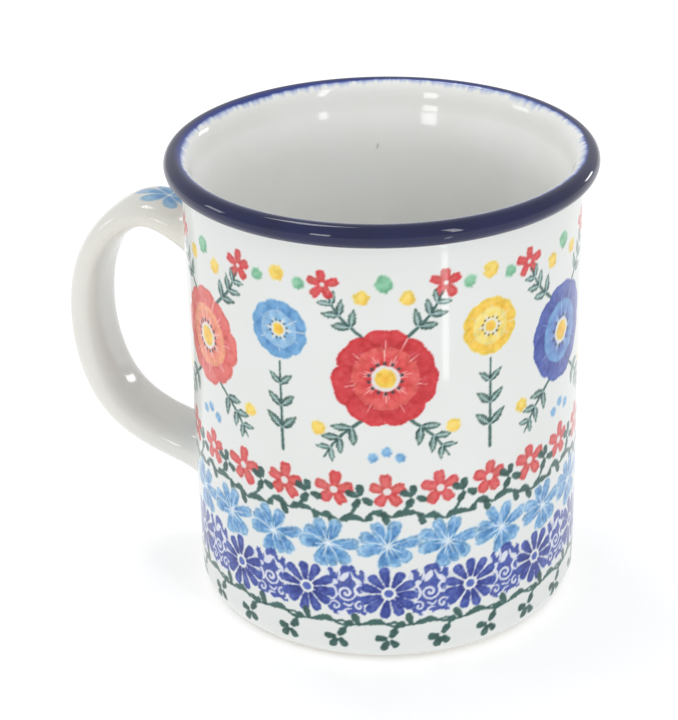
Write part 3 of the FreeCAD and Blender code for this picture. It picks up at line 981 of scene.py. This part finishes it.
def liner_colours(verts, rows, n):
    rng = np.random.default_rng(7)
    col = np.empty((rows, n, 3), np.float32)
    # painted light: the liner starts from the inside white, painted lighter than the outside glaze
    col[:] = np.array(INSIDE_LIT_WHITE, np.float32) / 255.0
    # painted shade: the liner is painted a little darker towards the floor, where the inside of the cup lies in shade
    low = np.clip((liner_top - verts.reshape(rows, n, 3)[..., 2]) / (liner_top - FLOOR_Z), 0, 1)
    col *= (1 - 0.050 * low ** 0.8)[..., None]
    # a few iron specks in the glaze
    a = np.arange(n) / n * 2 * math.pi
    for k in range(9):
        j = rng.integers(6, int(rows * 0.6))
        i = rng.integers(0, n)
        col[j, i] *= 1 - rng.uniform(0.08, 0.22)
    return linear(col.reshape(-1, 3))


def tidy(ob):
    import bmesh
    bm = bmesh.new()
    bm.from_mesh(ob.data)
    bmesh.ops.remove_doubles(bm, verts=bm.verts, dist=1e-6)
    bm.to_mesh(ob.data)
    bm.free()
    ob.data.polygons.foreach_set("use_smooth", np.ones(len(ob.data.polygons), bool))


liner = revolve("inside_liner", np.vstack([liner_path, liner_back]), 480, liner_colours)
tidy(liner)
liner.data.materials.append(mat_liner)
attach(liner, "root")
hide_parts("liner_glaze")

# ------------------------------------------------- bare clay body and foot ring
cc = (WALL_R - CORNER, CORNER)
clay_r = CORNER - GLAZE
a_b = -math.degrees(math.asin((CORNER - 0.0005) / clay_r))
clay_path = np.vstack([
    [[0.0, 0.0012], [0.0288, 0.0012]],
    hermite((0.0288, 0.0012), (0.0302, 0.00004), (0.9, -0.2), (0.9, -0.6), 6)[1:],
    [[0.0306, 0.0], [FOOT_R - 0.0002, 0.0]],
    [[FOOT_R, 0.00006]],
    arc_pts(cc, clay_r, a_b, 0, 14),
    [[WALL_R - GLAZE, fil_z]],
    arc_pts((fil_r, fil_z), FILLET + GLAZE, 180, under + 180, 6)[1:],
    arc_pts(LIP_C, LIP_TUBE - GLAZE, under, 180, 20),
    hermite((LIP_C[0] - LIP_TUBE + GLAZE, LIP_C[1]), band_g + across * GLAZE, -up2, -slope, 6)[1:],
    hermite(band_g + across * GLAZE, (BORE_R + GLAZE, FLARE_Z), -slope, -up2, 8)[1:],
    [[BORE_R + GLAZE, FLOOR_Z + IN_CORNER]],
    arc_pts((BORE_R - IN_CORNER, FLOOR_Z + IN_CORNER), IN_CORNER + GLAZE, 0, -90, 10)[1:],
    [[0.0, FLOOR_Z - GLAZE]],
])
clay_body = revolve("clay_body", clay_path, 256)
tidy(clay_body)
clay_body.data.materials.append(mat_clay)
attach(clay_body, "root")
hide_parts("cup_body")

# ---------------------------------------------------------- the strap handle
LINE = np.array([(36.5, 75.7), (43.4, 78.1), (51.1, 80.4), (61.8, 73.4), (66.8, 58.0),
                 (65.5, 43.9), (60.3, 33.7), (50.6, 27.2), (37.0, 23.2)]) / 1000.0


def natural_spline(p, count):
    t = np.r_[0, np.cumsum(np.linalg.norm(np.diff(p, axis=0), axis=1))]
    n = len(t)
    h = np.diff(t)
    A = np.eye(n)
    rhs = np.zeros((n, 2))
    for i in range(1, n - 1):
        A[i, i - 1], A[i, i], A[i, i + 1] = h[i - 1], 2 * (h[i - 1] + h[i]), h[i]
        rhs[i] = 6 * ((p[i + 1] - p[i]) / h[i] - (p[i] - p[i - 1]) / h[i - 1])
    M = np.linalg.solve(A, rhs)
    u = np.linspace(0, t[-1], 2000)
    k = np.clip(np.searchsorted(t, u) - 1, 0, n - 2)
    a, b = (t[k + 1] - u) / h[k], (u - t[k]) / h[k]
    q = (a[:, None] * p[k] + b[:, None] * p[k + 1]
         + ((a ** 3 - a)[:, None] * M[k] + (b ** 3 - b)[:, None] * M[k + 1]) * (h[k] ** 2)[:, None] / 6)
    d = np.r_[0, np.cumsum(np.linalg.norm(np.diff(q, axis=0), axis=1))]
    s = np.linspace(0, d[-1], count)
    return np.stack([np.interp(s, d, q[:, 0]), np.interp(s, d, q[:, 1])], 1), s


N_LONG, N_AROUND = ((360, 132))
line_pts, line_len = natural_spline(LINE, N_LONG)
tan = np.gradient(line_pts, line_len, axis=0)
tan /= np.linalg.norm(tan, axis=1)[:, None]
nor = np.stack([tan[:, 1], -tan[:, 0]], 1)
sfrac = line_len / line_len[-1]


def ease(x, xs, ys):
    out = np.full_like(x, ys[0])
    for k in range(1, len(xs)):
        t = np.clip((x - xs[k - 1]) / (xs[k] - xs[k - 1]), 0, 1)
        t = t * t * (3 - 2 * t)
        out = np.where(x > xs[k - 1], ys[k - 1] + (ys[k] - ys[k - 1]) * t, out)
    return out


flare = np.exp(-np.maximum(0, line_pts[:, 0] - WALL_R) / 0.0032)
half_w = 0.00735 + 0.0013 * flare + GLAZE
half_t = (ease(sfrac, (0.15, 0.5, 0.85), (0.0028, 0.0033, 0.0037))
          + np.where(sfrac < 0.5, 0.0015, 0.0008) * flare + GLAZE)
wa = np.arange(N_AROUND) / N_AROUND * 2 * math.pi
ex = 2.0 / 2.5
cw, sw = np.cos(wa), np.sin(wa)
uy = np.sign(cw) * np.abs(cw) ** ex
uh = np.sign(sw) * np.abs(sw) ** ex
# even spacing round the section
dens_w = np.linspace(0, 2 * math.pi, 2001)
dy = np.sign(np.cos(dens_w)) * np.abs(np.cos(dens_w)) ** ex * 7.6
dh = np.sign(np.sin(dens_w)) * np.abs(np.sin(dens_w)) ** ex * 3.6
dl = np.r_[0, np.cumsum(np.hypot(np.diff(dy), np.diff(dh)))]
wv = np.interp(np.arange(N_AROUND) / N_AROUND * dl[-1], dl, dens_w)
uy = np.sign(np.cos(wv)) * np.abs(np.cos(wv)) ** ex
uh = np.sign(np.sin(wv)) * np.abs(np.sin(wv)) ** ex
around_mm = np.arange(N_AROUND) / N_AROUND * dl[-1]
# positions of the strap's rings: x = -r
px = -(line_pts[:, 0][:, None] - nor[:, 0][:, None] * 0) + 0 * uh[None]
nx, nz = tan[:, 1], tan[:, 0]
ring_x = -line_pts[:, 0][:, None] + nx[:, None] * (half_t[:, None] * uh[None])
ring_z = line_pts[:, 1][:, None] + nz[:, None] * (half_t[:, None] * uh[None])
ring_y = half_w[:, None] * uy[None]
rings = np.stack([ring_x, ring_y, ring_z], -1)


def root_skirt(rings, first):
    """Blends an end of the strap into the wall: each edge line turns out to lie on the wall."""
    order = range(len(rings)) if first else range(len(rings) - 1, -1, -1)
    idx = [k for k in order]
    # the ring where the whole section is clear of the wall by a little
    reach = None
    for k in idx:
        rad = np.hypot(rings[k][:, 0], rings[k][:, 1])
        if rad.min() > WALL_R + 0.0021:
            reach = k
            break
    base = rings[reach]
    nxt = rings[reach + (1 if first else -1)]
    d = base - nxt
    d /= np.linalg.norm(d, axis=1)[:, None]
    # where each edge line meets the wall
    a = d[:, 0] ** 2 + d[:, 1] ** 2
    b = 2 * (base[:, 0] * d[:, 0] + base[:, 1] * d[:, 1])
    c = base[:, 0] ** 2 + base[:, 1] ** 2 - (WALL_R - 0.00003) ** 2
    t = (-b - np.sqrt(np.maximum(b * b - 4 * a * c, 0))) / (2 * a)
    hit = base + d * t[:, None]
    mid_hit = hit.mean(0)
    wall_n = hit.copy()
    wall_n[:, 2] = 0
    wall_n /= np.linalg.norm(wall_n, axis=1)[:, None]
    out = hit - mid_hit
    out -= (out * wall_n).sum(1)[:, None] * wall_n
    out /= np.linalg.norm(out, axis=1)[:, None]
    spread = 0.0019
    foot = hit + out * spread
    rad = np.hypot(foot[:, 0], foot[:, 1])
    foot[:, :2] *= ((WALL_R - 0.00004) / rad)[:, None]
    n = 16
    u = np.linspace(0, 1, n + 1)[1:, None, None]
    p0, p3 = base[None], foot[None]
    k0 = np.minimum(t, 0.006)[None, :, None] * 0.62
    p1 = p0 + d[None] * k0
    p2 = p3 - out[None] * 0.0013 + wall_n[None] * 0.00004
    curve = (1 - u) ** 3 * p0 + 3 * (1 - u) ** 2 * u * p1 + 3 * (1 - u) * u * u * p2 + u ** 3 * p3
    last = curve[-1].copy()
    under_wall = last.copy()
    under_wall[:, :2] *= ((WALL_R - 0.00022) / np.hypot(last[:, 0], last[:, 1]))[:, None]
    return reach, np.concatenate([curve, under_wall[None]])


k0, skirt0 = root_skirt(rings, True)
k1, skirt1 = root_skirt(rings, False)
all_rings = np.concatenate([skirt0[::-1], rings[k0:k1 + 1], skirt1])
L0, L1 = line_len[k0], line_len[k1]
step0 = np.linspace(-5.0, -0.3, len(skirt0))
long_mm = np.r_[L0 * 1000 + step0, line_len[k0:k1 + 1] * 1000, L1 * 1000 - step0[::-1]]
nl, na = len(all_rings), N_AROUND
verts = all_rings.reshape(-1, 3)
J, I = np.meshgrid(np.arange(nl - 1), np.arange(na), indexing="ij")
I2 = (I + 1) % na
quads = np.stack([J * na + I, (J + 1) * na + I, (J + 1) * na + I2, J * na + I2], -1).reshape(-1, 4)
# close both ends below the wall's surface
c0, c1 = len(verts), len(verts) + 1
ends = np.stack([all_rings[0].mean(0), all_rings[-1].mean(0)])
ends[:, 0] = -(WALL_R - 0.0003)
verts = np.vstack([verts, ends])
i = np.arange(na)
i2 = (i + 1) % na
cap0 = np.stack([np.full(na, c0), i, i2, i2], -1)
cap1 = np.stack([np.full(na, c1), (nl - 1) * na + i2, (nl - 1) * na + i, (nl - 1) * na + i], -1)


class Points:
    """The same painting calls, laid straight on a mesh's points."""

    def __init__(self, s, z, base, seed):
        self.s, self.z = s[None].astype(np.float32), z[None].astype(np.float32)
        self.img = np.empty((1, len(s), 3), np.float32)
        self.img[:] = np.array(base, np.float32) / 255.0
        rng = np.random.default_rng(seed)
        self.n1 = rng.uniform(-1, 1, (1, len(s))).astype(np.float32) * 0.4
        self.n2 = rng.uniform(-1, 1, (1, len(s))).astype(np.float32) * 0.4
        self.j = np.zeros((1, len(s)), int)
        self.i = np.arange(len(s))[None]

    def window(self, *a):
        return self.j, self.i, self.s, self.z

    def lay(self, win, cover, colour):
        c = cover[..., None]
        self.img = self.img * (1 - c) + colour * c


around_c = (around_mm - dl[-1] * 0.25 + dl[-1] / 2) % dl[-1] - dl[-1] / 2
S_, W_ = np.meshgrid(long_mm, around_c, indexing="ij")
strap_paint = Points(S_.ravel(), W_.ravel(), (229, 228, 222), 5)
paint_strap(strap_paint)
cols = linear(np.vstack([strap_paint.img[0], strap_paint.img[0][:1], strap_paint.img[0][-1:]]))
tri_caps = np.vstack([cap0, cap1])
strap = mesh_object("strap_handle", verts, quads, cols)
import bmesh
bm = bmesh.new()
bm.from_mesh(strap.data)
bm.verts.ensure_lookup_table()
for cap in (cap0, cap1):
    for f in cap:
        bm.faces.new([bm.verts[int(f[0])], bm.verts[int(f[1])], bm.verts[int(f[2])]])
bmesh.ops.recalc_face_normals(bm, faces=bm.faces)
bm.to_mesh(strap.data)
bm.free()
strap.data.polygons.foreach_set("use_smooth", np.ones(len(strap.data.polygons), bool))
strap.data.materials.append(mat_strap)
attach(strap, "root")
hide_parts("handle_glaze")

# the clay strap and its roots stay as CAD parts below the glaze
for name in ("handle", "upper_handle_joint", "lower_handle_joint"):
    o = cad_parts[name]
    for sl in o.material_slots:
        sl.material = mat_clay
    if not o.material_slots:
        o.data.materials.append(mat_clay)
WORLD = 0.74
FLOOR_GLOW = 0.26
# name, azimuth from the camera, distance, height, aimed height, width, height of the panel, power, colour
LIGHTS = [
    ("window_right", 37, 1.20, 0.74, 0.08, 0.13, 0.66, 1.6, (1.0, 1.0, 1.0)),
    ("window_left", -31, 1.20, 0.36, 0.08, 0.20, 0.26, 1.0, (1.0, 1.0, 1.0)),
    ("window_side", -94, 1.20, 0.42, 0.08, 0.26, 0.26, 0.8, (1.0, 1.0, 1.0)),
    ("skylight", -145, 0.50, 1.16, 0.09, 0.30, 0.30, 1.6, (1.0, 1.0, 1.0)),
    ("low_strip", 29.4, 0.140, 0.032, 0.066, 0.008, 0.032, 0.0026, (1.0, 1.0, 1.0)),
    ("window_far", 130, 1.20, 0.24, 0.08, 0.22, 0.14, 0.8, (1.0, 1.0, 1.0)),
]
# ------------------------------------------------------------ floor and light
def stage_plane(name, size, z, mat):
    me = bpy.data.meshes.new(name)
    n = 8
    v = [((i / n - 0.5) * size, (j / n - 0.5) * size, z) for j in range(n + 1) for i in range(n + 1)]
    f = [(j * (n + 1) + i, j * (n + 1) + i + 1, (j + 1) * (n + 1) + i + 1, (j + 1) * (n + 1) + i)
         for j in range(n) for i in range(n)]
    me.from_pydata(v, [], f)
    ob = bpy.data.objects.new(name, me)
    bpy.context.scene.collection.objects.link(ob)
    me.materials.append(mat)
    return ob


mat_floor, nt, b = new_material("pale_floor")
b.inputs["Roughness"].default_value = 0.55
nf = noise_node(nt, 6.0, 2.0)
rf = nt.nodes.new("ShaderNodeValToRGB")
rf.color_ramp.elements[0].color = (0.955, 0.955, 0.957, 1)
rf.color_ramp.elements[1].color = (0.965, 0.965, 0.965, 1)
nt.links.new(nf.outputs["Fac"], rf.inputs["Fac"])
nt.links.new(rf.outputs["Color"], b.inputs["Base Color"])
b.inputs["Specular IOR Level"].default_value = 0.2
b.inputs["Emission Color"].default_value = (1.0, 1.0, 1.0, 1)
b.inputs["Emission Strength"].default_value = FLOOR_GLOW
stage_plane("floor_plane", 9.0, float(size_lo[2]) - 0.00002, mat_floor)

world = bpy.data.worlds.new("studio")
bpy.context.scene.world = world
world.use_nodes = True
wn = world.node_tree
bg = wn.nodes.get("Background") or wn.nodes.new("ShaderNodeBackground")
bg.inputs["Color"].default_value = (1.0, 1.0, 1.0, 1)
bg.inputs["Strength"].default_value = WORLD


def area(name, loc, target, sx, sy, power, colour=(1, 1, 1)):
    l = bpy.data.lights.new(name, "AREA")
    l.shape = "RECTANGLE"
    l.size, l.size_y = sx, sy
    l.energy = power
    l.color = colour
    ob = bpy.data.objects.new(name, l)
    ob.location = loc
    d = Vector(target) - Vector(loc)
    ob.rotation_euler = d.to_track_quat("-Z", "Y").to_euler()
    ob.visible_camera = False
    bpy.context.scene.collection.objects.link(ob)
    return ob


def around(az_deg, dist, z):
    """A place round the mug: 0 is the camera's side, positive to its right."""
    a = math.radians(az_deg) + TURN
    return (dist * math.sin(a), -dist * math.cos(a), z)


for L in LIGHTS:
    area(L[0], around(L[1], L[2], L[3]), (0, 0, L[4]), L[5], L[6], L[7], L[8])

# ----------------------------------------------------------------- the camera
D, ELEV, FPX = 453.03, math.radians(26.8465), 2109.1
YAW, PITCH, ROLL, SHIFT_PX = 0.016026, 0.0059370, -0.0073820, 80.0
fw = np.array([0, math.cos(ELEV), -math.sin(ELEV)])
right = np.array([1.0, 0, 0])
upv = np.cross(right, fw)
fw2 = fw + YAW * right + PITCH * upv
fw2 /= np.linalg.norm(fw2)
r2 = np.cross(fw2, [0, 0, 1.0])
r2 /= np.linalg.norm(r2)
u2 = np.cross(r2, fw2)
r3 = math.cos(ROLL) * r2 + math.sin(ROLL) * u2
u3 = -math.sin(ROLL) * r2 + math.cos(ROLL) * u2
C = np.array([0, -D * math.cos(ELEV), D * math.sin(ELEV) + 47.0]) / 1000.0
c, s = math.cos(TURN), math.sin(TURN)
RZ = np.array([[c, -s, 0], [s, c, 0], [0, 0, 1]])
from mathutils import Matrix
M = np.eye(4)
M[:3, 0], M[:3, 1], M[:3, 2], M[:3, 3] = RZ @ r3, RZ @ u3, RZ @ -fw2, RZ @ C
cam = bpy.data.cameras.new("camera")
cam_ob = bpy.data.objects.new("camera", cam)
cam_ob.matrix_world = Matrix(M.tolist())
cam.sensor_width = 36.0
cam.lens = FPX / 720.0 * 36.0
cam.shift_x = -SHIFT_PX / 720.0
cam.clip_start = 0.01
cam.clip_end = 30.0
bpy.context.scene.collection.objects.link(cam_ob)
bpy.context.scene.camera = cam_ob
bpy.context.scene.view_settings.view_transform = "Standard"

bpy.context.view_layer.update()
